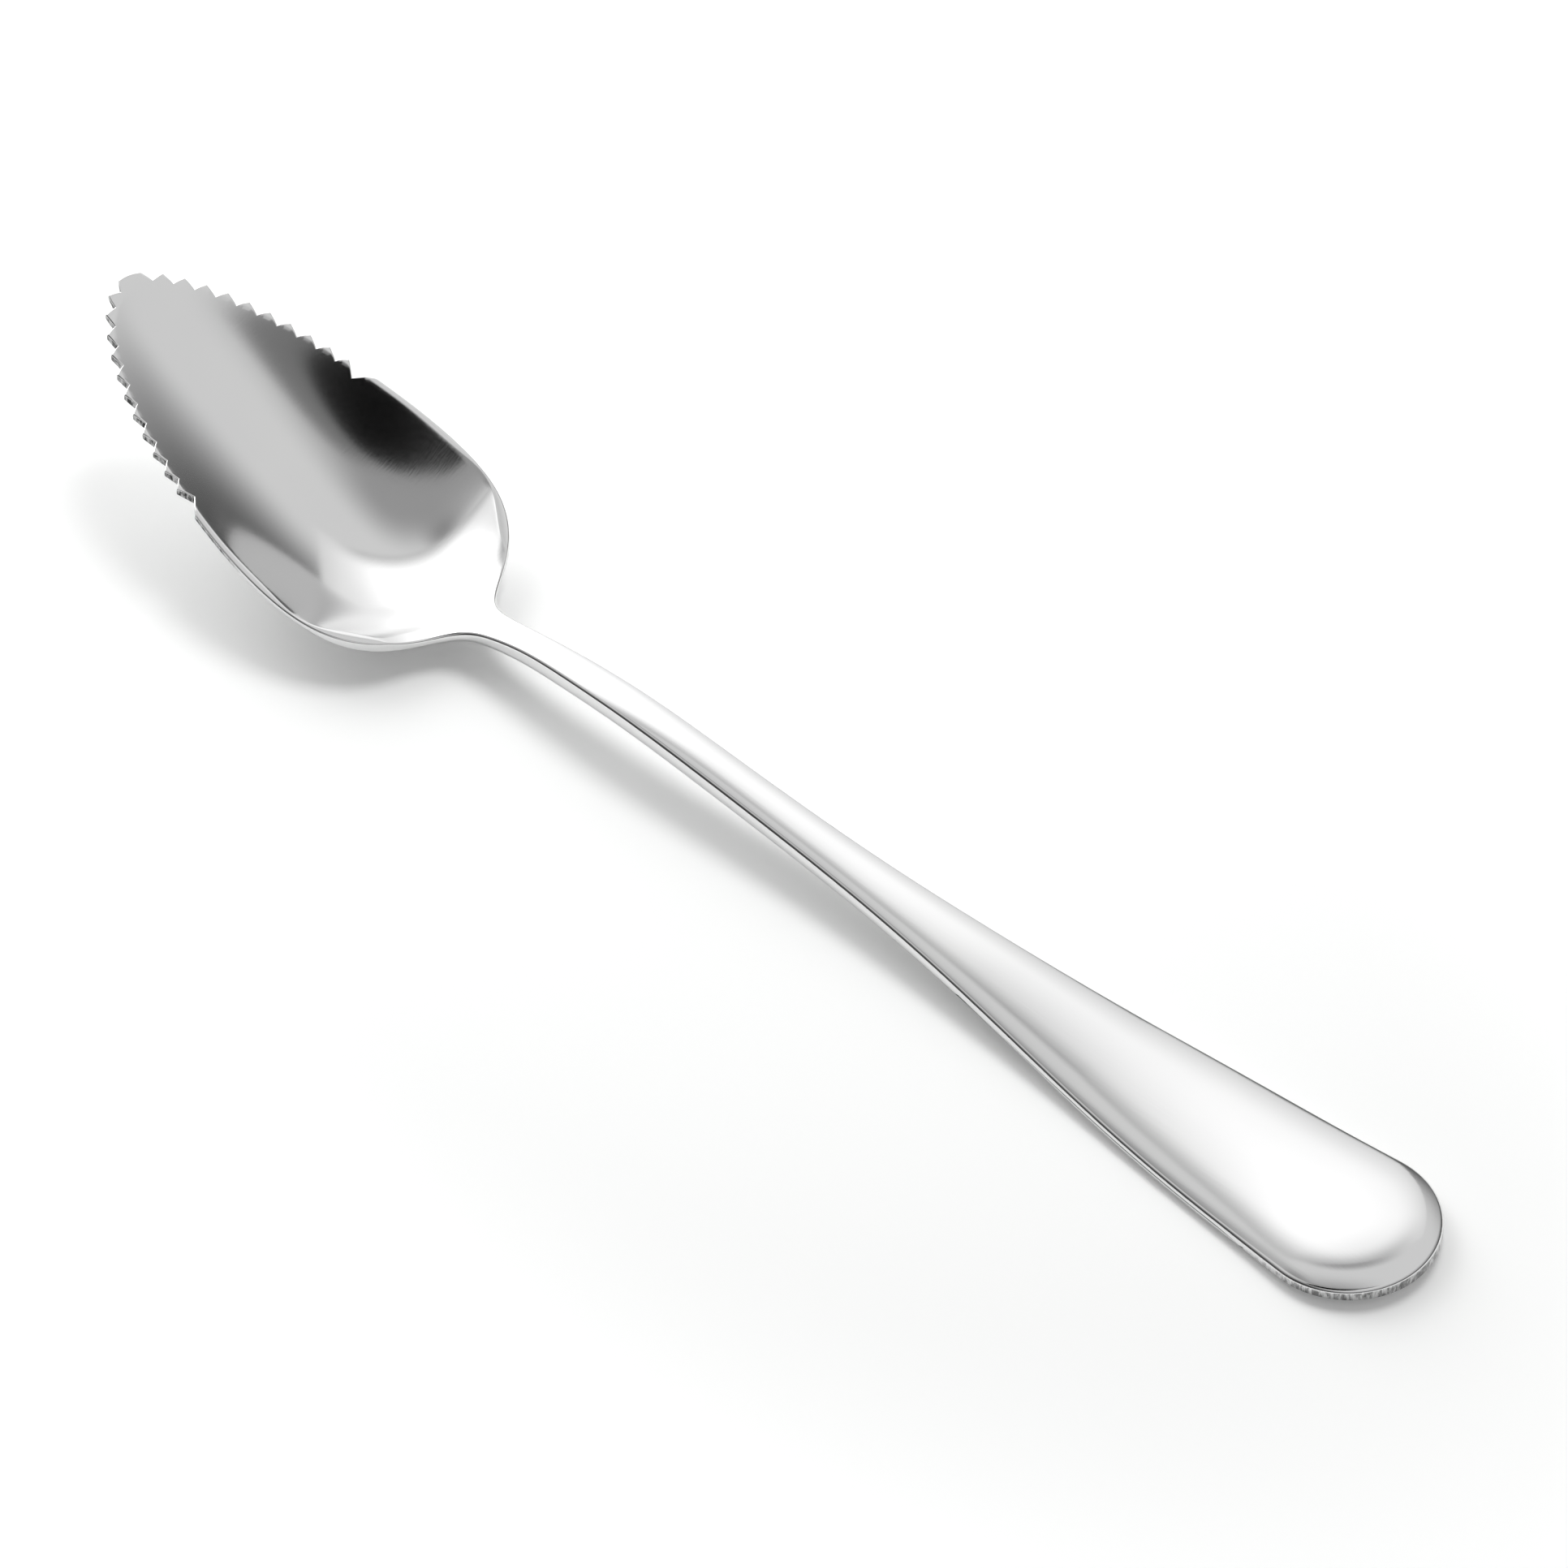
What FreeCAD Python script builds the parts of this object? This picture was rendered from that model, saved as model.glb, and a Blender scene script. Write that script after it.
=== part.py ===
"""Grapefruit spoon: one stamped, formed and polished piece of stainless steel.

Lengths are millimetres and angles are degrees.  A station is a distance from the bowl's tip
along the spoon, seen from above.  The spoon is shaped with its tip at station 0 and its handle
along +X.  Then it is laid on the plane z = 0, where its belly and the handle rest.
"""
import FreeCAD
import Part
import math
import os
from FreeCAD import Vector

# ---- outline, seen from above ----
LENGTH = 165.0
BOWL_LENGTH = 48.0          # tip to the inside corners where the shank begins
BOWL_WIDTH = 27.2
CORNER_WIDTH = 5.1          # width of the blank at the inside corners
SHANK_START = 51.0          # station where the shank has settled to its own width
SHANK_WIDTH = 3.7
FLARE_START = 60.0          # station where the handle starts to widen
HANDLE_WIDTH = 17.6
END_TAPER = 4.5             # between the handle's side and its centre line, at the round end
END_STRAIGHT = 6.0          # straight stretch of the side before the round end
# points of the bowl's side: share of the bowl's length, share of its half width
BOWL_SIDE = ((0.042, 0.295), (0.104, 0.472), (0.271, 0.755), (0.458, 0.923), (0.667, 1.0),
             (0.823, 0.893), (0.906, 0.643), (0.958, 0.34))
# points of the flare: share of the way to the straight, share of the widening
FLARE_SIDE = ((0.22, 0.055), (0.45, 0.165), (0.67, 0.48), (0.86, 0.82))

# ---- side view, heights of the rim and of the inner or upper face on the centre line ----
TIP_HEIGHT = 18.1           # rim at the tip
NECK_STATION = 46.0         # where the rim stops falling and rises into the shank
NECK_HEIGHT = 3.45
RIM_SAG = 0.98              # how far the rim hangs below the line from the tip to the neck
BOWL_DEPTH = 5.6            # deepest below the rim
CREST_STATION = 67.0        # top of the shank's arch
CREST_HEIGHT = 6.7
LOW_STATION = 142.0         # where the handle comes down to the table
LOW_HEIGHT = 2.35
END_HEIGHT = 2.8
# depth below the rim: share of the bowl's length, share of its depth
KEEL_SHARES = ((0.0, -0.1), (0.1, 0.185), (0.21, 0.4), (0.333, 0.623), (0.458, 0.833),
               (0.583, 0.978), (0.688, 0.978), (0.781, 0.83), (0.854, 0.585), (0.9375, 0.145))
# shares of the way along, shares of the change of height
NECK_SHARES = ((0.105, 0.345), (0.42, 0.765), (0.72, 0.94))        # inside corners to the crest
FALL_SHARES = ((0.173, 0.152), (0.373, 0.413), (0.573, 0.643), (0.733, 0.84), (0.867, 0.957))
END_SHARES = ((0.43, 0.44), (0.7, 1.13), (0.87, 1.24))                 # low point to the end

# ---- sections ----
RIM_LAND = 0.8              # width of the flat land ground along the top of the bowl's rim
BOWL_WALL = 0.95
THIN_SHARE = 0.7            # share of the bowl's length up to which its wall stays that thin
SHANK_THICKNESS = 2.4
HANDLE_THICKNESS = 2.1
SHANK_CROWN = 0.16          # bulge of the shank's upper and under faces over their width
HANDLE_CROWN = 0.5          # bulge of the handle's upper face at its widest
HANDLE_HOLLOW = 0.18        # hollow of its under face there

# ---- serrations: notches cut square to the rim ----
TOOTH_PITCH = 2.15          # along the rim, seen from above
TOOTH_DEPTH = 0.85
RIGHT_NOTCHES = 11          # on the +Y edge, at the right of the hand that holds the spoon
LEFT_NOTCHES = 12           # on the -Y edge, where they start one pitch nearer the tip
FIRST_NOTCH = 3.4           # from the tip, along the rim, to the first notch of the +Y edge
LAST_DEPTH = 1.25           # the last notch of each edge is cut deeper
LAST_RUN_OUT = 2.0          # and runs out to the smooth rim over this length

# ---- construction ----
SPARE = 2.5                 # overhang of the forming surfaces past the outline
REACH = 60.0                # how far the solids above and below a forming surface reach
GRID_STEP = 3.0             # spacing of the stations that a forming surface passes through
GRID_HALF_LINES = 4         # lines of its points on each side of the centre line
FINE = 0.01                 # how closely the resting points are looked for


class Profile:
    """A smooth curve through (station, value) points that can be read at any station."""

    def __init__(self, points, start_tangent=None):
        places = [Vector(station, value, 0) for station, value in points]
        self.curve = Part.BSplineCurve()
        if start_tangent:
            others = len(places) - 1
            self.curve.interpolate(Points=places, Tangents=[start_tangent] * len(places),
                                   TangentFlags=[True] + [False] * others)
        else:
            self.curve.interpolate(Points=places)
        self.first, self.last = points[0][0], points[-1][0]

    def at(self, station):
        """The value at a station, carried on in a straight line past either end."""
        inside = min(max(station, self.first), self.last)
        low, high = self.curve.FirstParameter, self.curve.LastParameter
        for _ in range(45):
            middle = (low + high) / 2
            if self.curve.value(middle).x < inside:
                low = middle
            else:
                high = middle
        point = self.curve.value(low)
        if inside == station:
            return point.y
        slope = self.curve.tangent(low)[0]
        return point.y + (station - inside) * slope.y / slope.x


def between(start, end, shares):
    """Points at shares of the way from start to end."""
    return [(start[0] + x * (end[0] - start[0]), start[1] + y * (end[1] - start[1]))
            for x, y in shares]


def side_profile():
    """Half width by station, from the tip to where the round end begins."""
    end_radius, taper = HANDLE_WIDTH / 2, math.radians(END_TAPER)
    join = (LENGTH - end_radius - end_radius * math.sin(taper), end_radius * math.cos(taper))
    straight = (join[0] - END_STRAIGHT * math.cos(taper), join[1] - END_STRAIGHT * math.sin(taper))
    flare = (FLARE_START, SHANK_WIDTH / 2)
    points = [(0.0, 0.0)] + between((0, 0), (BOWL_LENGTH, BOWL_WIDTH / 2), BOWL_SIDE)
    points += [(BOWL_LENGTH, CORNER_WIDTH / 2), (SHANK_START, SHANK_WIDTH / 2), flare]
    points += between(flare, straight, FLARE_SIDE) + [straight, join]
    return Profile(points, start_tangent=Vector(0, 1, 0))


SIDE = side_profile()


def half_width(station):
    """Half width of the outline at a station."""
    end_radius = HANDLE_WIDTH / 2
    if station <= SIDE.last:
        return SIDE.at(max(station, 0.0))
    across = station - (LENGTH - end_radius)
    return math.sqrt(max(end_radius ** 2 - across ** 2, 0.0))


def rim_height(station):
    """Height of the rim's land, which hangs between the tip and the neck."""
    way = station / NECK_STATION
    return TIP_HEIGHT + way * (NECK_HEIGHT - TIP_HEIGHT) - 4 * RIM_SAG * way * (1 - way)


def keel_profile():
    """Height of the inner face of the bowl and the upper face of the handle, at y = 0."""
    corner, crest = (BOWL_LENGTH, NECK_HEIGHT), (CREST_STATION, CREST_HEIGHT)
    low, end = (LOW_STATION, LOW_HEIGHT), (LENGTH, END_HEIGHT)
    points = [(x * BOWL_LENGTH, rim_height(x * BOWL_LENGTH) - share * BOWL_DEPTH)
              for x, share in KEEL_SHARES]
    points += between(corner, crest, NECK_SHARES) + [crest] + between(crest, low, FALL_SHARES)
    return Profile(points + [low] + between(low, end, END_SHARES) + [end])


KEEL = keel_profile()


def bend_profile(shank_bend, handle_bend):
    """Curvature of a face's sections by station: dished in the bowl, then as far from flat over
    the width as the two bends say, for the shank and for the handle at its widest."""
    points = []
    for x in (0.12, 0.25, 0.42, 0.55, 0.68, 0.8, 0.9):
        station = x * BOWL_LENGTH
        rise = rim_height(station) - KEEL.at(station)
        points.append((station, rise / (half_width(station) - RIM_LAND) ** 2))
    steps = 6
    shank = [SHANK_START] + [FLARE_START + (SIDE.last - FLARE_START) * i / steps
                             for i in range(steps + 1)]
    change = (handle_bend - shank_bend) / (HANDLE_WIDTH / 2) ** 2
    points += [(x, shank_bend / half_width(x) ** 2 + change) for x in shank]
    return Profile([(-SPARE, points[0][1])] + points + [(LENGTH + SPARE, points[-1][1])])


def overhang_profile():
    """Half width of the forming surfaces: the outline's, smoothed over and widened."""
    stations = [x * BOWL_LENGTH for x in (0.2, 0.45, 0.67, 0.85, 0.97)]
    stations += [SHANK_START + SPARE, FLARE_START]
    stations += [FLARE_START + (SIDE.last - FLARE_START) * x for x in (0.25, 0.5, 0.75, 1.0)]
    points = [(x, half_width(x) + SPARE) for x in stations]
    return Profile([(-SPARE, points[0][1] * 0.7)] + points + [(LENGTH + SPARE, points[-1][1])])


def eased(station, first, last):
    """How far a change between two stations has come: 0 to 1, starting and ending gently."""
    way = min(max((station - first) / (last - first), 0.0), 1.0)
    return way * way * (3 - 2 * way)


def thickness(station):
    """Thickness of the steel on the centre line."""
    neck = eased(station, THIN_SHARE * BOWL_LENGTH, FLARE_START)
    handle = eased(station, CREST_STATION, LOW_STATION)
    return (BOWL_WALL + (SHANK_THICKNESS - BOWL_WALL) * neck
            + (HANDLE_THICKNESS - SHANK_THICKNESS) * handle)


def forming_surface(bend, depth):
    """A face through points of the sections, each depth(station) below it along its normal."""
    overhang = overhang_profile()
    count = round((LENGTH + 2 * SPARE) / GRID_STEP)
    grid = []
    for i in range(count + 1):
        station = -SPARE + (LENGTH + 2 * SPARE) * i / count
        keel, curved, reach = KEEL.at(station), bend.at(station), overhang.at(station)
        run = 0.01
        keel_slope = (KEEL.at(station + run) - keel) / run
        bend_slope = (bend.at(station + run) - curved) / run
        row = []
        for j in range(-GRID_HALF_LINES, GRID_HALF_LINES + 1):
            y = reach * j / GRID_HALF_LINES
            normal = Vector(-(keel_slope + bend_slope * y * y), -2 * curved * y, 1).normalize()
            row.append(Vector(station, y, keel + curved * y * y) - normal * depth(station))
        grid.append(row)
    surface = Part.BSplineSurface()
    surface.interpolate(grid)
    return surface.toShape()


def outline_prism():
    """The blank's outline, extruded past everything that it trims."""
    side = SIDE.curve.toShape()
    other = side.mirror(Vector(0, 0, 0), Vector(0, 1, 0))
    start, end = Vector(SIDE.last, SIDE.at(SIDE.last), 0), Vector(LENGTH, 0, 0)
    far = Vector(start.x, -start.y, 0)
    rim = Part.Wire(Part.__sortEdges__([side, Part.Arc(start, end, far).toShape(), other]))
    prism = Part.Face(rim).extrude(Vector(0, 0, REACH))
    prism.translate(Vector(0, 0, -REACH / 2))
    return prism


def above_rim():
    """Everything above the rim's land; behind the neck it rises clear of the shank."""
    line = [(x, rim_height(x)) for x in [-SPARE] + [NECK_STATION * i / 4 for i in range(5)]]
    land = Profile(line).curve.toShape()
    land.rotate(Vector(0, 0, 0), Vector(1, 0, 0), 90)
    (first, start), (last, end) = line[0], line[-1]
    corners = [Vector(last, 0, end), Vector(last + REACH, 0, REACH), Vector(first, 0, REACH),
               Vector(first, 0, start)]
    closing = [Part.LineSegment(a, b).toShape() for a, b in zip(corners, corners[1:])]
    solid = Part.Face(Part.Wire([land] + closing)).extrude(Vector(0, 2 * BOWL_WIDTH, 0))
    solid.translate(Vector(0, -BOWL_WIDTH, 0))
    return solid


def blank():
    """The formed blank: between the two forming surfaces, inside the outline, below the rim."""
    upper = forming_surface(bend_profile(-SHANK_CROWN, -HANDLE_CROWN), lambda station: 0.0)
    under = forming_surface(bend_profile(SHANK_CROWN, -HANDLE_HOLLOW), thickness)
    body = outline_prism().common(upper.extrude(Vector(0, 0, -REACH)))
    body = body.common(under.extrude(Vector(0, 0, REACH)))
    return body.cut(above_rim())


def notch(distance, depth, back, ahead):
    """A V-shaped cutter whose root lies depth inside the +Y edge, distance along it."""
    curve = SIDE.curve
    place = curve.parameterAtDistance(distance, curve.FirstParameter)
    along = curve.tangent(place)[0]
    outward = Vector(-along.y, along.x, 0)
    edge = curve.value(place)
    root = edge - outward * depth
    spread = 2.0                # the cutter is carried on past the edge to this many depths
    corners = [root, root + (outward * depth + along * ahead) * spread,
               root + (outward * depth - along * back) * spread, root]
    cutter = Part.Face(Part.makePolygon(corners)).extrude(Vector(0, 0, REACH))
    cutter.translate(Vector(0, 0, -REACH / 2))
    return cutter


def notches(count, first):
    """The cutters along the +Y edge; the last one is deeper and runs out to the smooth rim."""
    half = TOOTH_PITCH / 2
    places = [first + i * TOOTH_PITCH for i in range(count)]
    cutters = [notch(place, TOOTH_DEPTH, half, half) for place in places[:-1]]
    return cutters + [notch(places[-1], LAST_DEPTH, half, LAST_RUN_OUT)]


def serrated(body):
    """Cut both edges of the bowl; the -Y edge has one more notch, beside the tip."""
    right = notches(RIGHT_NOTCHES, FIRST_NOTCH)
    left = [cutter.mirror(Vector(0, 0, 0), Vector(0, 1, 0))
            for cutter in notches(LEFT_NOTCHES, FIRST_NOTCH - TOOTH_PITCH)]
    return body.cut(right + left)


def laid_down(body):
    """Turn the spoon until belly and handle both touch z = 0; origin under the box's centre."""
    middle = body.CenterOfMass.x
    for _ in range(3):
        points = body.tessellate(FINE)[0]
        belly = min((p for p in points if p.x < middle), key=lambda p: p.z)
        heel = min((p for p in points if p.x >= middle), key=lambda p: p.z)
        slope = math.degrees(math.atan2(heel.z - belly.z, heel.x - belly.x))
        body.rotate(belly, Vector(0, 1, 0), slope)
    points = body.tessellate(FINE)[0]
    stations = [p.x for p in points]
    lowest = min(p.z for p in points)
    body.translate(Vector(-(min(stations) + max(stations)) / 2, 0, -lowest))
    return body


os.makedirs("parts", exist_ok=True)
(cut_blank,) = serrated(blank()).Solids
spoon = laid_down(cut_blank)
print(f"valid {spoon.isValid()}, solids {len(spoon.Solids)}, volume {spoon.Volume:.1f} mm3")
spoon.exportStep("parts/spoon.step")
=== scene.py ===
"""A grapefruit spoon of polished stainless steel, lying on a white table in soft studio light.

Shape sizes are millimetres until the mesh is made.  A station is a distance from the bowl's tip
along the spoon, seen from above.  The studio and the materials are in metres.
"""
import math
import bpy
import numpy as np
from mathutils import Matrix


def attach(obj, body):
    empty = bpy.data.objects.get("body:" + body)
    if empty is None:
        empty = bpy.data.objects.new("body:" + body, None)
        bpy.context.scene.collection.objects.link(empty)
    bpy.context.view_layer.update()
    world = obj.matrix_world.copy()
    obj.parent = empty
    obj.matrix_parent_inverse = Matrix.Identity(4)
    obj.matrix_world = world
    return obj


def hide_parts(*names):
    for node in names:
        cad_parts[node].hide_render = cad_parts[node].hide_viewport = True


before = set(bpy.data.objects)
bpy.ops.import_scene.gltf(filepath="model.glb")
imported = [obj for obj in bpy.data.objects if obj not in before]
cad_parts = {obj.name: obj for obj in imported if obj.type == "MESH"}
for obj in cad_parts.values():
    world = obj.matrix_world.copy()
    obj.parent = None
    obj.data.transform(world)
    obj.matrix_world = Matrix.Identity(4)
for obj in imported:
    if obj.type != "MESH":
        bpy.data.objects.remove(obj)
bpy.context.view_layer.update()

# ---------------------------------------------------------------- sizes of the spoon

# seen from above; a side's points are shares of the way along and across a stretch of it
LENGTH, BOWL_LENGTH, BOWL_WIDTH = 165.0, 48.0, 27.2
CORNER_WIDTH, SHANK_START, SHANK_WIDTH = 5.1, 51.0, 3.7
FLARE_START, HANDLE_WIDTH, END_TAPER, END_STRAIGHT = 60.0, 17.6, 4.5, 6.0
BOWL_SIDE = ((0.042, 0.295), (0.104, 0.472), (0.271, 0.755), (0.458, 0.923), (0.667, 1.0),
             (0.823, 0.893), (0.906, 0.643), (0.958, 0.34))
FLARE_SIDE = ((0.22, 0.055), (0.45, 0.165), (0.67, 0.48), (0.86, 0.82))

# seen from the side: the rim, the keel's points as shares of the bowl's length and depth, and its
# points behind the bowl as shares of the way along and up or down a stretch
TIP_HEIGHT, NECK_STATION, NECK_HEIGHT, RIM_SAG, BOWL_DEPTH = 18.1, 46.0, 3.45, 0.98, 5.6
CREST_STATION, CREST_HEIGHT, LOW_STATION, LOW_HEIGHT, END_HEIGHT = 67.0, 6.7, 142.0, 2.35, 2.8
KEEL_SHARES = ((0.0, -0.1), (0.1, 0.185), (0.21, 0.4), (0.333, 0.623), (0.458, 0.833),
               (0.583, 0.978), (0.688, 0.978), (0.781, 0.83), (0.854, 0.585), (0.9375, 0.145))
NECK_SHARES = ((0.105, 0.345), (0.42, 0.765), (0.72, 0.94))
FALL_SHARES = ((0.173, 0.152), (0.373, 0.413), (0.573, 0.643), (0.733, 0.84), (0.867, 0.957))
END_SHARES = ((0.43, 0.44), (0.7, 1.13), (0.87, 1.24))

# the sections across the spoon
RIM_LAND = 0.6              # width of the ground land along the bowl's rim
BOWL_WALL, SHANK_THICKNESS, HANDLE_THICKNESS = 0.95, 2.4, 2.1
THIN_SHARE = 0.7            # share of the bowl that has its wall's thickness
SHANK_CROWN, HANDLE_CROWN, HANDLE_HOLLOW = 0.16, 0.5, 0.18
BEND_SHARES = (0.12, 0.25, 0.42, 0.55, 0.68, 0.8, 0.9)      # of the bowl, where its bend is set
BEND_STEPS = 6              # stretches of the handle between the places where its bend is set
SPARE = 2.5                 # length past both ends over which the faces are still given
FLATTER, FLAT_SHARE = 0.25, 0.75         # how much the bowl's section flattens towards the rim,
#                             and the share of the bowl from which that fades towards the shank

# the serrated edges
TOOTH_PITCH, TOOTH_DEPTH, RIGHT_NOTCHES, LEFT_NOTCHES, FIRST_NOTCH = 2.15, 0.85, 11, 12, 3.4
LAST_DEPTH, LAST_RUN_OUT = 1.25, 2.0

# what polishing takes off the edges
RIM_BREAK = 0.2             # breaks along the edges of the bowl's land
BELLY_ROUND = 0.3           # rounding of the bowl's lower edge
EDGE_ROUND = 0.85           # rounding of the lower edges of the shank and the handle
TOP_WIDTH, TOP_DEPTH = 0.4, 0.65         # oval rounding of their upper edges
END_ROUND, END_DEPTH = 0.3, 0.3          # lower and upper rounding at the handle's cut end
NECK_BLEND, END_CUT = (43.5, 49.5), (147.0, 157.0)          # stations between which they change
RIDGE_SOFT = 0.06           # height over which the ridge inside the land is softened
SHOULDER, SHOULDER_SHARE, WEAR = 4.5, 0.75, 0.13            # soft shoulder: width, at most this
#                             share of the half width, and depth for each millimetre of width

# how finely the curves and the mesh follow the shape
STRETCH_SAMPLES, ROUND_SAMPLES = 600, 900           # of each stretch of a curve, of the round end
BAND = 1.6                  # depth of the strip along the outline that follows it square
INNER_STEPS = 26            # steps from the centre line out to the strip
TOP_TURNS, LOW_TURNS = 10, 7             # points round the upper and the lower roundings
SHORT_STEP = 0.03           # distance of the samples next to a notch's root or a tooth's tip
BEFORE_CORNER, AFTER_CORNER = 6.0, 4.0   # the samples are closer this near to the neck's corner
RIDGE_OFFSETS = (0.1, 0.05, 0.0, -0.05)  # samples beside the ridge inside the land
LEAST_LAND, LEAST_FACE = 0.08, 0.2       # least distance of the ridge from rounding and strip


# ---------------------------------------------------------------- curves

def eased(station, first, last):
    """From 0 at the first station to 1 at the last, smoothly."""
    way = np.clip((station - first) / (last - first), 0, 1)
    return way * way * (3 - 2 * way)


def between(start, end, shares):
    """Points at these shares of the way from start to end, along and across."""
    return [(start[0] + x * (end[0] - start[0]), start[1] + y * (end[1] - start[1]))
            for x, y in shares]


def end_slope(times, places):
    """Slope at the first of four points of the cubic through them."""
    out = np.zeros(2)
    for i in range(4):
        others = [j for j in range(4) if j != i]
        bottom = np.prod([times[i] - times[j] for j in others])
        if i == 0:
            top = sum(np.prod([times[0] - times[k] for k in others if k != j]) for j in others)
        else:
            top = np.prod([times[0] - times[k] for k in others if k != 0])
        out += places[i] * top / bottom
    return out


def spline(points, start=None):
    """Dense samples of the smooth cubic through the points, by chord length; start is the
    direction in which it sets out."""
    p = np.array(points, float)
    t = np.concatenate([[0], np.cumsum(np.linalg.norm(np.diff(p, axis=0), axis=1))])
    first = end_slope(t[:4], p[:4])
    last = end_slope(t[-1:-5:-1], p[-1:-5:-1])
    if start is not None:
        first = np.array(start, float) * np.linalg.norm(first)
    n = len(t)
    h = np.diff(t)
    a, r = np.zeros((n, n)), np.zeros((n, 2))
    a[0, 0] = a[-1, -1] = 1
    r[0], r[-1] = first, last
    for i in range(1, n - 1):
        a[i, i - 1], a[i, i], a[i, i + 1] = h[i], 2 * (h[i - 1] + h[i]), h[i - 1]
        r[i] = 3 * (h[i] * (p[i] - p[i - 1]) / h[i - 1] + h[i - 1] * (p[i + 1] - p[i]) / h[i])
    m = np.linalg.solve(a, r)
    u = np.linspace(0, 1, STRETCH_SAMPLES, endpoint=False)[:, None]
    out = []
    for i in range(n - 1):
        out.append((2 * u**3 - 3 * u**2 + 1) * p[i] + (u**3 - 2 * u**2 + u) * h[i] * m[i]
                   + (3 * u**2 - 2 * u**3) * p[i + 1] + (u**3 - u**2) * h[i] * m[i + 1])
    return np.vstack(out + [p[-1:]])


def reader(points):
    """A function that gives the spline's value at any station, straight on past its ends."""
    x, y = spline(points).T
    first, last = (y[1] - y[0]) / (x[1] - x[0]), (y[-1] - y[-2]) / (x[-1] - x[-2])

    def at(station):
        station = np.asarray(station, float)
        before = np.where(station < x[0], (station - x[0]) * first, 0)
        after = np.where(station > x[-1], (station - x[-1]) * last, 0)
        return np.interp(np.clip(station, x[0], x[-1]), x, y) + before + after
    return at


# ---------------------------------------------------------------- outline, seen from above

end_radius, taper = HANDLE_WIDTH / 2, math.radians(END_TAPER)
end_centre = LENGTH - end_radius
join = (end_centre - end_radius * math.sin(taper), end_radius * math.cos(taper))
straight = (join[0] - END_STRAIGHT * math.cos(taper), join[1] - END_STRAIGHT * math.sin(taper))
flare = (FLARE_START, SHANK_WIDTH / 2)
side_points = ([(0.0, 0.0)] + between((0, 0), (BOWL_LENGTH, BOWL_WIDTH / 2), BOWL_SIDE)
               + [(BOWL_LENGTH, CORNER_WIDTH / 2), (SHANK_START, SHANK_WIDTH / 2), flare]
               + between(flare, straight, FLARE_SIDE) + [straight, join])
side = spline(side_points, start=(0, 1))
angles = np.linspace(math.pi / 2 + taper, 0, ROUND_SAMPLES)[1:]
round_end = np.stack([end_centre + end_radius * np.cos(angles), end_radius * np.sin(angles)], 1)
outline = np.vstack([side, round_end])
arc = np.concatenate([[0], np.cumsum(np.linalg.norm(np.diff(outline, axis=0), axis=1))])
tangent = np.gradient(outline, arc, axis=0)
tangent[0], tangent[-1] = (0, 1), (0, -1)
tangent /= np.linalg.norm(tangent, axis=1)[:, None]


def half_width(x):
    """Distance from the middle to the outline."""
    across = np.clip(end_radius**2 - (x - end_centre)**2, 0, None)
    return np.where(x <= join[0], np.interp(x, side[:, 0], side[:, 1]), np.sqrt(across))


# ---------------------------------------------------------------- upper and under faces

def rim_height(x):
    """Height of the bowl's rim, which hangs in a curve from the tip to the neck."""
    way = x / NECK_STATION
    return TIP_HEIGHT + way * (NECK_HEIGHT - TIP_HEIGHT) - 4 * RIM_SAG * way * (1 - way)


corner, crest = (BOWL_LENGTH, NECK_HEIGHT), (CREST_STATION, CREST_HEIGHT)
low, end = (LOW_STATION, LOW_HEIGHT), (LENGTH, END_HEIGHT)
keel = reader([(x * BOWL_LENGTH, rim_height(x * BOWL_LENGTH) - share * BOWL_DEPTH)
               for x, share in KEEL_SHARES] + between(corner, crest, NECK_SHARES) + [crest]
              + between(crest, low, FALL_SHARES) + [low] + between(low, end, END_SHARES) + [end])


def bend_reader(shank_bend, handle_bend):
    """How strongly the sections bend up away from the centre line, at any station."""
    points = []
    for x in (share * BOWL_LENGTH for share in BEND_SHARES):
        points.append((x, float((rim_height(x) - keel(x)) / (half_width(x) - RIM_LAND)**2)))
    step = (join[0] - FLARE_START) / BEND_STEPS
    change = (handle_bend - shank_bend) / (HANDLE_WIDTH / 2)**2
    for x in [SHANK_START] + [FLARE_START + step * i for i in range(BEND_STEPS + 1)]:
        points.append((x, shank_bend / float(half_width(x))**2 + change))
    return reader([(-SPARE, points[0][1])] + points + [(LENGTH + SPARE, points[-1][1])])


upper_bend = bend_reader(-SHANK_CROWN, -HANDLE_CROWN)
under_bend = bend_reader(SHANK_CROWN, -HANDLE_HOLLOW)


def section(x, y, bend):
    """Height above the centre line: a parabola that flattens towards the bowl's rim."""
    # the reach is kept off nothing at the tip, where the bowl has no width
    reach = np.clip(half_width(np.clip(x, 2.0, BOWL_LENGTH)) - RIM_LAND, 1.5, None)
    in_bowl = 1 - eased(x, FLAT_SHARE * BOWL_LENGTH, SHANK_START)
    return bend(x) * y * y * (1 + FLATTER * (1 - (y / reach)**2) * in_bowl)


def thickness(x):
    """Thickness of the steel, square to its faces."""
    thicker = eased(x, THIN_SHARE * BOWL_LENGTH, FLARE_START)
    thinner = eased(x, CREST_STATION, LOW_STATION)
    return (BOWL_WALL + (SHANK_THICKNESS - BOWL_WALL) * thicker
            + (HANDLE_THICKNESS - SHANK_THICKNESS) * thinner)


def shoulder(x, y):
    """How far polishing has worn the shank and the handle down near their edges."""
    inside = np.where(x > end_centre, end_radius - np.hypot(x - end_centre, y),
                      half_width(x) - np.abs(y))
    width = np.clip(SHOULDER_SHARE * half_width(np.minimum(x, end_centre)), 1, SHOULDER)
    behind_bowl = eased(x, NECK_STATION, FLARE_START)
    return WEAR * width * np.clip(1 - inside / width, 0, None)**3 * behind_bowl


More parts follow.
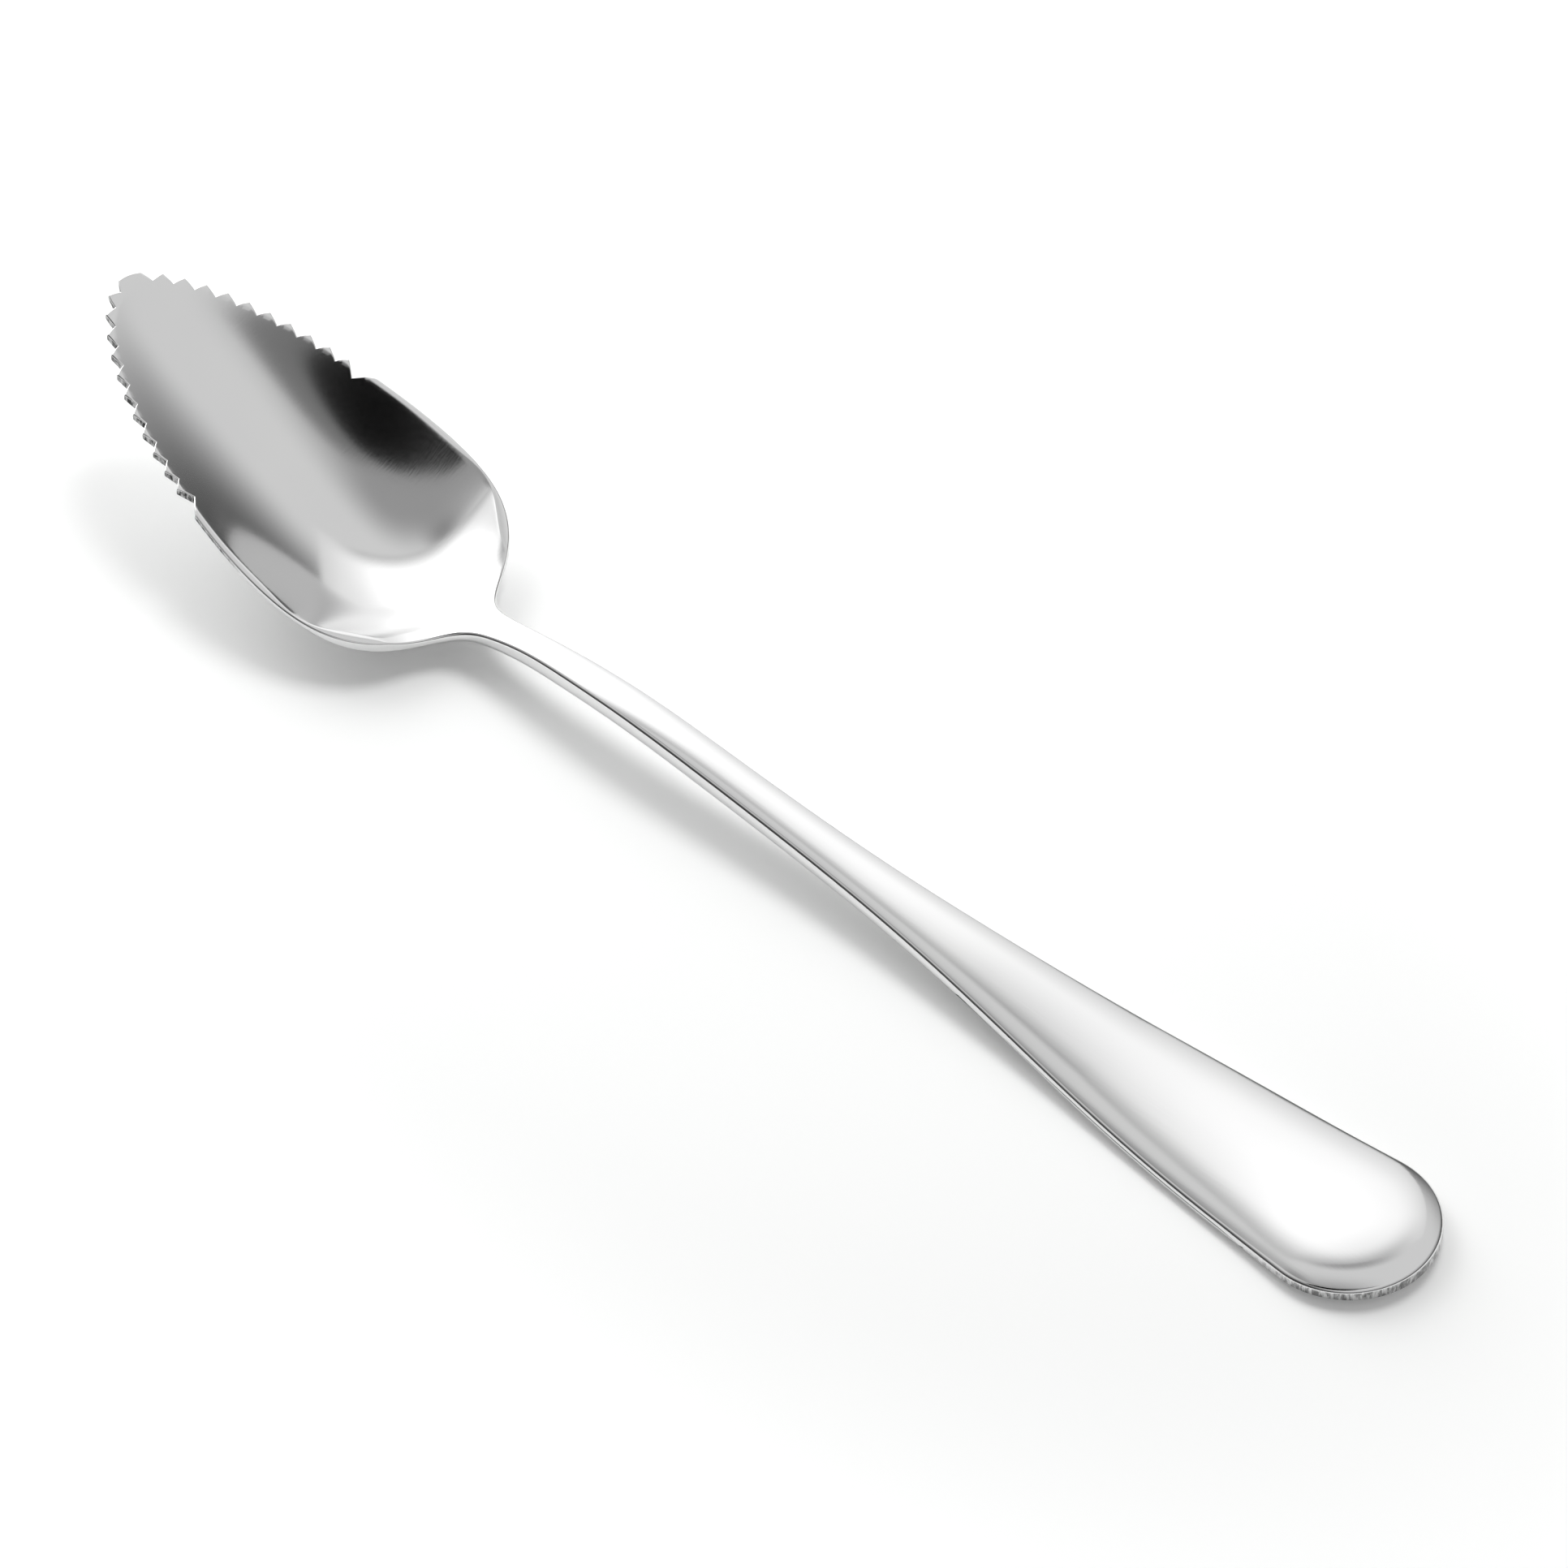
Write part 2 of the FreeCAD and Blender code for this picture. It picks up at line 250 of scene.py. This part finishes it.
def upper(x, y):
    """Height of the inner or upper face, trimmed by the rim's land; the ridge is a little soft."""
    face = keel(x) + section(x, y, upper_bend)
    land = np.where(x < NECK_STATION, rim_height(x), NECK_HEIGHT + (x - NECK_STATION))
    ridge = np.clip(RIDGE_SOFT - np.abs(face - land), 0, None)**2 / (4 * RIDGE_SOFT)
    return np.minimum(face, land) - ridge - shoulder(x, y)


def under(x, y):
    """Height of the under face: the steel's thickness below the face that the centre line and
    the under bend give, square to it."""
    # px, py is the point of that face whose square comes out at x, y; each pass comes nearer
    px, py = np.array(x, float), np.array(y, float)
    run = 0.02
    for _ in range(12):
        z = keel(px) + section(px, py, under_bend)
        sx = (keel(px + run) + section(px + run, py, under_bend) - z) / run
        sy = (section(px, py + run, under_bend) - section(px, py - run, under_bend)) / (2 * run)
        t = thickness(px) / np.sqrt(1 + sx * sx + sy * sy)
        px, py = px + (x - (px + sx * t)), py + (y - (py + sy * t))
    return z - t


# ---------------------------------------------------------------- mesh

def rim_stations():
    """Distances along the outline, from the tip to the handle's end, at which it is sampled."""
    notches = [FIRST_NOTCH + TOOTH_PITCH * i for i in range(-1, RIGHT_NOTCHES)]
    back = TOOTH_PITCH / 2
    marks = [0.0, 2 * SHORT_STEP, 4 * SHORT_STEP, notches[0] - back]
    for root in notches:
        ahead = LAST_RUN_OUT if root == notches[-1] else back
        marks += [root - back + SHORT_STEP] + [root - back * k for k in (0.8, 0.55, 0.3, 0.12)]
        marks += [root - SHORT_STEP, root, root + SHORT_STEP]
        marks += [root + ahead * k for k in (0.12, 0.3, 0.55, 0.8)]
        marks += [root + ahead - SHORT_STEP, root + ahead]
    plain_rim = notches[-1] + LAST_RUN_OUT
    neck = np.interp(BOWL_LENGTH - BEFORE_CORNER, side[:, 0], arc[:len(side)])
    shank = np.interp(SHANK_START + AFTER_CORNER, side[:, 0], arc[:len(side)])
    rounding = arc[len(side) - 1]
    for start, stop, count in ((plain_rim, neck, 90), (neck, shank, 70), (shank, rounding, 170),
                               (rounding, arc[-1], 60)):
        marks += list(np.linspace(start, stop, count))
    return np.unique(np.round(np.array(marks), 5))


def notch_depth(s, first, count):
    """How deep the notches cut in, at distances along the outline."""
    depth = np.zeros_like(s)
    for i in range(count):
        root = first + i * TOOTH_PITCH
        last = i == count - 1
        ahead, deep = (LAST_RUN_OUT, LAST_DEPTH) if last else (TOOTH_PITCH / 2, TOOTH_DEPTH)
        way = np.where(s < root, (root - s) / (TOOTH_PITCH / 2), (s - root) / ahead)
        depth = np.maximum(depth, deep * np.clip(1 - way, 0, None))
    return depth


def edge_roundings(x):
    """Width and depth of the upper edge's rounding, and size of the lower edge's."""
    behind, at_end = eased(x, *NECK_BLEND), eased(x, *END_CUT)
    top_width = RIM_BREAK + (TOP_WIDTH - RIM_BREAK) * behind
    top_depth = RIM_BREAK + (TOP_DEPTH - RIM_BREAK) * behind
    low_round = BELLY_ROUND + (EDGE_ROUND - BELLY_ROUND) * behind
    return (top_width, top_depth + (END_DEPTH - top_depth) * at_end,
            low_round + (END_ROUND - low_round) * at_end)


def half_shell(first, count):
    """Points of half of the spoon: one row per sample of the outline, from the upper face's
    centre line out to the edge, down the wall and back to the under face's centre line."""
    s = rim_stations()
    cx, cy = np.interp(s, arc, outline[:, 0]), np.interp(s, arc, outline[:, 1])
    tx, ty = np.interp(s, arc, tangent[:, 0]), np.interp(s, arc, tangent[:, 1])
    size = np.hypot(tx, ty)
    nx, ny = ty / size, -tx / size                  # square to the outline, inwards
    cut = notch_depth(s, first, count)
    top_width, top_depth, low_round = edge_roundings(cx)

    # depth of the ridge between the land and the bowl's inner face
    depths = np.linspace(0, BAND, 161)              # every 0.01 mm
    gx, gy = cx[:, None] + nx[:, None] * depths, cy[:, None] + ny[:, None] * depths
    on_land = keel(gx) + section(gx, gy, upper_bend) > rim_height(gx)
    ridge = np.where(cx < NECK_STATION, on_land.sum(axis=1) * depths[1], 0)
    start = cut + top_width
    peak = np.clip(ridge, start + LEAST_LAND, BAND - LEAST_FACE)

    def in_by(depth):
        return cx + nx * depth, cy + ny * depth

    def on_top(x, y, lower=0.0):
        return x, y, upper(x, y) - lower

    def below(x, y, higher=0.0):
        return x, y, under(x, y) + higher

    qx, qy = in_by(BAND)
    inner = np.linspace(0, 1, INNER_STEPS + 1)
    rows = [on_top(qx, qy * u) for u in inner[:-1]]
    rows += [on_top(*in_by(BAND + (peak + RIDGE_OFFSETS[0] - BAND) * share))
             for share in (0.0, 0.33, 0.66)]
    for offset in RIDGE_OFFSETS:
        rows.append(on_top(*in_by(np.maximum(peak + offset, start + 0.02 + 0.01 * offset))))
    rows.append(on_top(*in_by((np.maximum(peak - 0.05, start + 0.02) + start) / 2)))
    for turn in np.linspace(0, math.pi / 2, TOP_TURNS):
        x, y = in_by(cut + top_width * (1 - math.sin(turn)))
        rows.append(on_top(x, y, top_depth * (1 - math.cos(turn))))
    low_rows = []
    for turn in np.linspace(math.pi / 2, 0, LOW_TURNS):
        x, y = in_by(cut + low_round * (1 - math.sin(turn)))
        low_rows.append(below(x, y, low_round * (1 - math.cos(turn))))
    wall_top = rows[-1][2]
    x, y, wall_bottom = low_rows[0]
    rows += [(x, y, wall_top + (wall_bottom - wall_top) * share) for share in (0.25, 0.5, 0.75)]
    rows += low_rows
    rows += [below(*in_by(cut + low_round + (BAND - cut - low_round) * share))
             for share in (0.3, 0.65)]
    rows += [below(qx, qy * u) for u in inner[::-1]]
    return np.stack([np.stack(row, axis=-1) for row in rows], axis=1)


def lay_down(ring):
    """Turn the spoon until belly and handle both touch the table, and set it on the middle."""
    for _ in range(4):                              # each turn shifts the lowest points a little
        x, z = ring[:, :, 0], ring[:, :, 2]
        front = x < LENGTH / 2
        i, j = np.where(front, z, np.inf).argmin(), np.where(front, np.inf, z).argmin()
        slope = math.atan2(z.flat[j] - z.flat[i], x.flat[j] - x.flat[i])
        c, s = math.cos(slope), math.sin(slope)
        x0, z0 = x.flat[i], z.flat[i]
        turned = x0 + (x - x0) * c + (z - z0) * s, z0 + (z - z0) * c - (x - x0) * s
        ring[:, :, 0], ring[:, :, 2] = turned
    ring[:, :, 0] -= (ring[:, :, 0].min() + ring[:, :, 0].max()) / 2
    ring[:, :, 2] -= ring[:, :, 2].min()


def surface_normals(ring):
    """At each point, the square to the surface that the rings sample; its length is 0 where
    points fall together."""
    step = np.linalg.norm(np.diff(ring, axis=0), axis=2).mean(axis=1)
    along = np.gradient(ring, np.concatenate([[0], np.cumsum(step)]), axis=0)
    wrapped = np.concatenate([ring[:, -1:], ring, ring[:, :1]], axis=1)
    back, ahead = wrapped[:, 1:-1] - wrapped[:, :-2], wrapped[:, 2:] - wrapped[:, 1:-1]
    before = np.linalg.norm(back, axis=2)[..., None] + 1e-9
    after = np.linalg.norm(ahead, axis=2)[..., None] + 1e-9
    across = (back / before * after + ahead / after * before) / (before + after)
    normal = np.cross(along, across)
    length = np.linalg.norm(normal, axis=2)[..., None]
    return np.where(length > 1e-6, normal / np.where(length < 1e-12, 1, length), 0)


def mesh_of_rings(ring):
    """A closed smooth mesh through the rings, with the normals of the surface they sample."""
    rows, count = ring.shape[:2]
    places = np.round(ring.reshape(-1, 3), 4)
    points, index = np.unique(places, axis=0, return_inverse=True)
    normals = np.zeros_like(points)
    np.add.at(normals, index.ravel(), surface_normals(ring).reshape(-1, 3))
    normals /= np.linalg.norm(normals, axis=1)[:, None] + 1e-12
    index = index.reshape(rows, count)
    faces = []
    for i in range(rows - 1):
        for j in range(count):
            k = (j + 1) % count
            loop = [index[i, j], index[i + 1, j], index[i + 1, k], index[i, k]]
            loop = [v for n, v in enumerate(loop) if v != loop[n - 1]]
            if len(loop) > 2 and len(set(loop)) == len(loop):
                faces.append([int(v) for v in loop])
    made = bpy.data.meshes.new("spoon_steel")
    made.from_pydata((points / 1000).tolist(), [], faces)
    made.polygons.foreach_set("use_smooth", [True] * len(made.polygons))
    made.update()
    made.normals_split_custom_set_from_vertices(normals.tolist())
    return made


def placed(name, data):
    """A new object in the scene."""
    made = bpy.data.objects.new(name, data)
    bpy.context.scene.collection.objects.link(made)
    return made


right = half_shell(FIRST_NOTCH, RIGHT_NOTCHES)
left = half_shell(FIRST_NOTCH - TOOTH_PITCH, LEFT_NOTCHES) * (1, -1, 1)
ring = np.concatenate([right, left[:, -2:0:-1]], axis=1)    # closed rings, one per sample
lay_down(ring)
spoon = placed("spoon_steel", mesh_of_rings(ring))
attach(spoon, "root")
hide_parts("spoon")


# ---------------------------------------------------------------- node helpers

def add(tree, kind, inputs=None, **settings):
    """A node with its settings and inputs; an input is a socket to link or a value."""
    node = tree.nodes.new(kind)
    for name, value in settings.items():
        setattr(node, name, value)
    for key, value in (inputs or {}).items():
        if isinstance(value, bpy.types.NodeSocket):
            tree.links.new(value, node.inputs[key])
        else:
            node.inputs[key].default_value = value
    return node


def maths(tree, operation, first, second=0.0):
    """The result of the operation."""
    return add(tree, "ShaderNodeMath", {0: first, 1: second}, operation=operation).outputs[0]


def ramp(tree, value, low, high, start=0.0, end=1.0):
    """Start below low, end above high, and a smooth change between them."""
    return add(tree, "ShaderNodeMapRange", {"Value": value, "From Min": low, "From Max": high,
                                            "To Min": start, "To Max": end},
               interpolation_type="SMOOTHSTEP").outputs["Result"]


def product(tree, *factors):
    """The numbers multiplied with each other."""
    out = factors[0]
    for factor in factors[1:]:
        out = maths(tree, "MULTIPLY", out, factor)
    return out


def blended(tree, factor, first, second):
    """A number that goes from first to second with the factor."""
    return add(tree, "ShaderNodeMix", {"Factor": factor, "A": first, "B": second}).outputs["Result"]


def mottled(tree, factor, first, second):
    """A colour that goes from first to second with the factor."""
    return add(tree, "ShaderNodeMix", {0: factor, 6: first, 7: second}, data_type="RGBA").outputs[2]


def scaled(tree, vector, scale):
    """The vector, multiplied axis by axis."""
    return add(tree, "ShaderNodeVectorMath", {0: vector, 1: scale}, operation="MULTIPLY").outputs[0]


def length_of(tree, vector):
    """The vector's length."""
    return add(tree, "ShaderNodeVectorMath", {0: vector}, operation="LENGTH").outputs["Value"]


def coordinate(tree, kind):
    """The shaded point's texture coordinate of this kind."""
    return add(tree, "ShaderNodeTexCoord").outputs[kind]


def axes_of(tree, vector):
    """The vector's X, Y and Z."""
    return add(tree, "ShaderNodeSeparateXYZ", {0: vector}).outputs


def light_path(tree):
    """What kind of ray asks."""
    return add(tree, "ShaderNodeLightPath").outputs


def material(name):
    """A new material, its node tree and its shader."""
    made = bpy.data.materials.new(name)
    made.use_nodes = True
    return made, made.node_tree, made.node_tree.nodes["Principled BSDF"]


def grey(level):
    """A neutral colour."""
    return (level, level, level, 1)


# ---------------------------------------------------------------- polished steel

BOWL_FADE = -0.030, -0.040               # places along the spoon between which the bowl fades in,
TOOTH_FADE, END_FADE = (-0.053, -0.056), (0.066, 0.076)     # and the cut edges of teeth and end
WALL_FADE = 0.40, 0.10                   # how far a surface faces up or down: less is a wall
DARK_STEEL, PALE_STEEL = (0.73, 0.73, 0.735, 1), (0.78, 0.78, 0.775, 1)
TOOTH_SHADE_SPECKS, END_GLINT_SPECKS = (0.03, 0.4), (0.22, 0.72)        # dark and pale specks on the cut walls, mottled like ground steel: painted shade on the teeth, painted glints and shade on the end
HANDLE_GLOSS, BOWL_GLOSS, WALL_GLOSS, GLOSS_NOISE = 0.10, 0.12, 0.22, 0.05
RELIEF_STRENGTH, RELIEF_DEPTH = 0.06, 0.00003

steel, tree, shader = material("polished_steel")
place = coordinate(tree, "Object")
along = axes_of(tree, place)["X"]
facing_up = axes_of(tree, coordinate(tree, "Normal"))["Z"]
bowl = ramp(tree, along, *BOWL_FADE)
wall = ramp(tree, maths(tree, "ABSOLUTE", facing_up), *WALL_FADE)


def grain(scale, detail=3.0):
    """Noise over the spoon, so many waves to the metre along each axis."""
    return add(tree, "ShaderNodeTexNoise", {"Vector": scaled(tree, place, scale), "Scale": 1.0,
                                            "Detail": detail, "Roughness": 0.6}).outputs["Fac"]


def ripple(noise):
    """What the noise adds to the roughness or takes from it."""
    return maths(tree, "MULTIPLY", maths(tree, "SUBTRACT", noise, 0.5), GLOSS_NOISE)


cloud = grain((60, 90, 90), 2.0)                    # faint unevenness of the polish
lines = grain((140, 5200, 5200))                    # polishing lines along the handle
swirl = grain((5200, 900, 900))                     # finer brushed lines across the bowl
ground = grain((2600, 2600, 900), 2.0)              # the ground edge
speckle = ramp(tree, ground, 0.35, 0.65)
# painted shade on the teeth's cut walls and painted glints and shade on the end's, mottled like ground
# steel
teeth_painted_shade, end_painted_glints = [mottled(tree, speckle, grey(dark), grey(pale))
                      for dark, pale in (TOOTH_SHADE_SPECKS, END_GLINT_SPECKS)]
painted_edge_mask = maths(tree, "MAXIMUM", ramp(tree, along, *TOOTH_FADE), ramp(tree, along, *END_FADE))
tint = mottled(tree, cloud, DARK_STEEL, PALE_STEEL)
# the walls at the teeth and at the end get that painted shade and those glints in place of the steel's
# own tone
tint = mottled(tree, product(tree, wall, painted_edge_mask), tint,
               mottled(tree, bowl, end_painted_glints, teeth_painted_shade))
gloss = blended(tree, wall, blended(tree, bowl, HANDLE_GLOSS, BOWL_GLOSS), WALL_GLOSS)
for noise in (lines, cloud):
    gloss = maths(tree, "ADD", gloss, ripple(noise))
relief = blended(tree, wall, blended(tree, bowl, lines, swirl), ground)
bump = add(tree, "ShaderNodeBump", {"Height": relief, "Strength": RELIEF_STRENGTH,
                                    "Distance": RELIEF_DEPTH})
tree.links.new(tint, shader.inputs["Base Color"])
tree.links.new(gloss, shader.inputs["Roughness"])
tree.links.new(bump.outputs["Normal"], shader.inputs["Normal"])
shader.inputs["Metallic"].default_value = 1.0
spoon.data.materials.append(steel)


# ---------------------------------------------------------------- table

TABLE_HALF = 3.0
DARK_PAPER, PALE_PAPER, FIBRES = (0.955, 0.96, 0.955, 1), (0.965, 0.97, 0.965, 1), 900.0
OVAL = 11.8, 20.0, 0        # one over the half length and the half width of an oval round the spoon
OVAL_FADE, GLOW_NEAR, GLOW_FAR = (0.8, 1.8), 0.1, 0.3       # glow that camera and metal see there; it rises away from the spoon, which paints light on the table beyond the oval and leaves painted shade round the spoon


def sheet(name, left, right, bottom, top):
    """A rectangle in its own XY plane."""
    made = bpy.data.meshes.new(name)
    corners = [(left, bottom, 0), (right, bottom, 0), (right, top, 0), (left, top, 0)]
    made.from_pydata(corners, [], [(0, 1, 2, 3)])
    return placed(name, made)


floor = sheet("table", -TABLE_HALF, TABLE_HALF, -TABLE_HALF, TABLE_HALF)
table, tree, shader = material("table_white")
floor.data.materials.append(table)
place = coordinate(tree, "Object")
fibre = add(tree, "ShaderNodeTexNoise", {"Vector": place, "Scale": FIBRES, "Detail": 3.0})
paper = mottled(tree, fibre.outputs["Fac"], DARK_PAPER, PALE_PAPER)
ray = light_path(tree)
seen = maths(tree, "MAXIMUM", ray["Is Camera Ray"], ray["Is Glossy Ray"])
# painted light: the table's glow grows from the oval round the spoon outwards, so the table near the
# spoon is left darker as painted shade
from_middle = length_of(tree, scaled(tree, place, OVAL))
glow_with_painted_light = product(tree, seen, ramp(tree, from_middle, *OVAL_FADE, GLOW_NEAR, GLOW_FAR))
tree.links.new(paper, shader.inputs["Base Color"])
tree.links.new(glow_with_painted_light, shader.inputs["Emission Strength"])
shader.inputs["Emission Color"].default_value = grey(1)
shader.inputs["Roughness"].default_value = 1.0
shader.inputs["Specular IOR Level"].default_value = 0.0


# ---------------------------------------------------------------- soft box behind the spoon

BOX_AZIMUTH, BOX_ELEVATION, BOX_DISTANCE = math.radians(150), math.radians(35), 0.6
BOX_LEFT, BOX_RIGHT, BOX_BOTTOM, BOX_TOP = -0.58, 0.50, -0.41, 0.39
BOX_LEVEL, CORE_LEVEL = 1.5, 4.0         # of the box, and of the bright core of it on top of that
RIGHT_FADE, LEFT_FADE, TOP_FADE, BOTTOM_FADE = (0.54, 0.10), (-0.58, -0.30), (0.39, 0.20), (-0.36, -0.30)
CORE_RIGHT, CORE_LEFT, CORE_TOP = (0.16, -0.16), (-0.46, -0.20), (0.22, -0.02)
DIM_RISE, DIM_LEVELS = (-0.34, 0.15), (0.06, 0.62)          # outside it, dimmer towards the table
STRIP_FADE, STRIP_LEVEL = (0.2, 0.42), 0.85                 # and an even strip at its right


def set_around(piece, azimuth, elevation, distance):
    """Put the piece in this direction and at this distance from the spoon's middle."""
    reach = distance * math.cos(elevation)
    piece.location = (reach * math.cos(azimuth), reach * math.sin(azimuth),
                      distance * math.sin(elevation))


soft_box = sheet("soft_box", BOX_LEFT, BOX_RIGHT, BOX_BOTTOM, BOX_TOP)
set_around(soft_box, BOX_AZIMUTH, BOX_ELEVATION, BOX_DISTANCE)
soft_box.rotation_euler = (math.pi / 2 + BOX_ELEVATION, 0, BOX_AZIMUTH - math.pi / 2)
soft_box.visible_camera = False
cloth, tree, shader = material("soft_box")
tree.nodes.remove(shader)
soft_box.data.materials.append(cloth)
axes = axes_of(tree, coordinate(tree, "Object"))
across, rise = axes["X"], axes["Y"]
box = product(tree, ramp(tree, across, *RIGHT_FADE), ramp(tree, across, *LEFT_FADE),
              ramp(tree, rise, *TOP_FADE))
core = product(tree, ramp(tree, across, *CORE_RIGHT), ramp(tree, across, *CORE_LEFT),
               ramp(tree, rise, *CORE_TOP))
level = blended(tree, ramp(tree, across, *STRIP_FADE),
                ramp(tree, rise, *DIM_RISE, *DIM_LEVELS), STRIP_LEVEL)
level = blended(tree, box, level, BOX_LEVEL)
level = maths(tree, "ADD", level, product(tree, core, CORE_LEVEL))
level = product(tree, level, ramp(tree, rise, *BOTTOM_FADE))
shine = add(tree, "ShaderNodeEmission", {"Strength": level})
tree.links.new(shine.outputs[0], tree.nodes["Material Output"].inputs["Surface"])


# ---------------------------------------------------------------- lamp for the table's shadow

LAMP_AZIMUTH, LAMP_ELEVATION, LAMP_DISTANCE = math.radians(104), math.radians(62), 0.6
LAMP_SIZE, LAMP_WATTS = 0.26, 1.2

lamp = bpy.data.lights.new("shadow_lamp", "AREA")
lamp.shape = "DISK"
lamp.size = LAMP_SIZE
lamp.energy = LAMP_WATTS
shadow_lamp = placed("shadow_lamp", lamp)
set_around(shadow_lamp, LAMP_AZIMUTH, LAMP_ELEVATION, LAMP_DISTANCE)
shadow_lamp.rotation_euler = (math.pi / 2 - LAMP_ELEVATION, 0, LAMP_AZIMUTH + math.pi / 2)
shadow_lamp.visible_glossy = False       # the metal mirrors the soft box and the room alone


# ---------------------------------------------------------------- the studio round it

# soft grey and dark zones of the room: azimuth, elevation, tilt, half length and half width in
# degrees, share of them where the edge starts to fade, level
ZONES = ((-100, 0, 0, 62, 62, 0.35, 0.05),
         (135, 63, 0, 18, 8, 0.1, 0.4),
         (-85, 68, 0, 36, 36, 0.25, 0.38),
         (-146, 63, 20, 20, 12, 0.0, 0.3),
         (-45, 63, 0, 24, 8, 0.5, 0.2),
         (-75, 54, 25, 21.5, 11, 0.9, 0.0))
ZONE_DEPTH = 3              # reach of a zone along its own direction: only the rest counts
ROOM_LOW, ROOM_HIGH, ROOM_TOP = 0.06, 0.78, 0.72    # levels, and the sine of the height at which
#                             the higher one is reached
FILL = 0.6                  # share of the room's brightness that reaches matt surfaces

world = bpy.data.worlds.new("studio")
bpy.context.scene.world = world
world.use_nodes = True
tree = world.node_tree
background = tree.nodes["Background"]
heading = coordinate(tree, "Generated")
level = ramp(tree, axes_of(tree, heading)["Z"], 0.0, ROOM_TOP, ROOM_LOW, ROOM_HIGH)
for azimuth, elevation, tilt, length, width, edge, shade in ZONES:
    a, e = math.radians(azimuth), math.radians(elevation)
    centre = (math.cos(e) * math.cos(a), math.cos(e) * math.sin(a), math.sin(e))
    size = (ZONE_DEPTH, math.sin(math.radians(length)), math.sin(math.radians(width)))
    zone = add(tree, "ShaderNodeMapping", {
        "Vector": heading, "Location": centre, "Rotation": (math.radians(tilt), -e, a),
        "Scale": size}, vector_type="TEXTURE")
    reach = length_of(tree, zone.outputs[0])
    level = blended(tree, ramp(tree, reach, 1.0, edge), level, shade)
ray = light_path(tree)
level = product(tree, level, blended(tree, ray["Is Glossy Ray"], FILL, 1.0))
level = blended(tree, ray["Is Camera Ray"], level, 1.0)
tree.links.new(level, background.inputs["Strength"])
background.inputs["Color"].default_value = grey(1)


# ---------------------------------------------------------------- camera

CAMERA_AZIMUTH, CAMERA_ELEVATION = math.radians(42.08), math.radians(47.80)
CAMERA_PLACE = 0.36156, -0.39504, 0.59642
SENSOR, FOCAL_PIXELS, PHOTO_PIXELS = 36.0, 10420, 1932      # focal length in the photo's pixels

camera_data = bpy.data.cameras.new("camera")
camera_data.sensor_width = SENSOR
camera_data.lens = SENSOR * FOCAL_PIXELS / PHOTO_PIXELS
camera_data.clip_end = 20
camera = placed("camera", camera_data)
camera.location = CAMERA_PLACE
camera.rotation_euler = (math.pi / 2 - CAMERA_ELEVATION, 0, CAMERA_AZIMUTH)
bpy.context.scene.camera = camera
bpy.context.scene.view_settings.view_transform = "Standard"
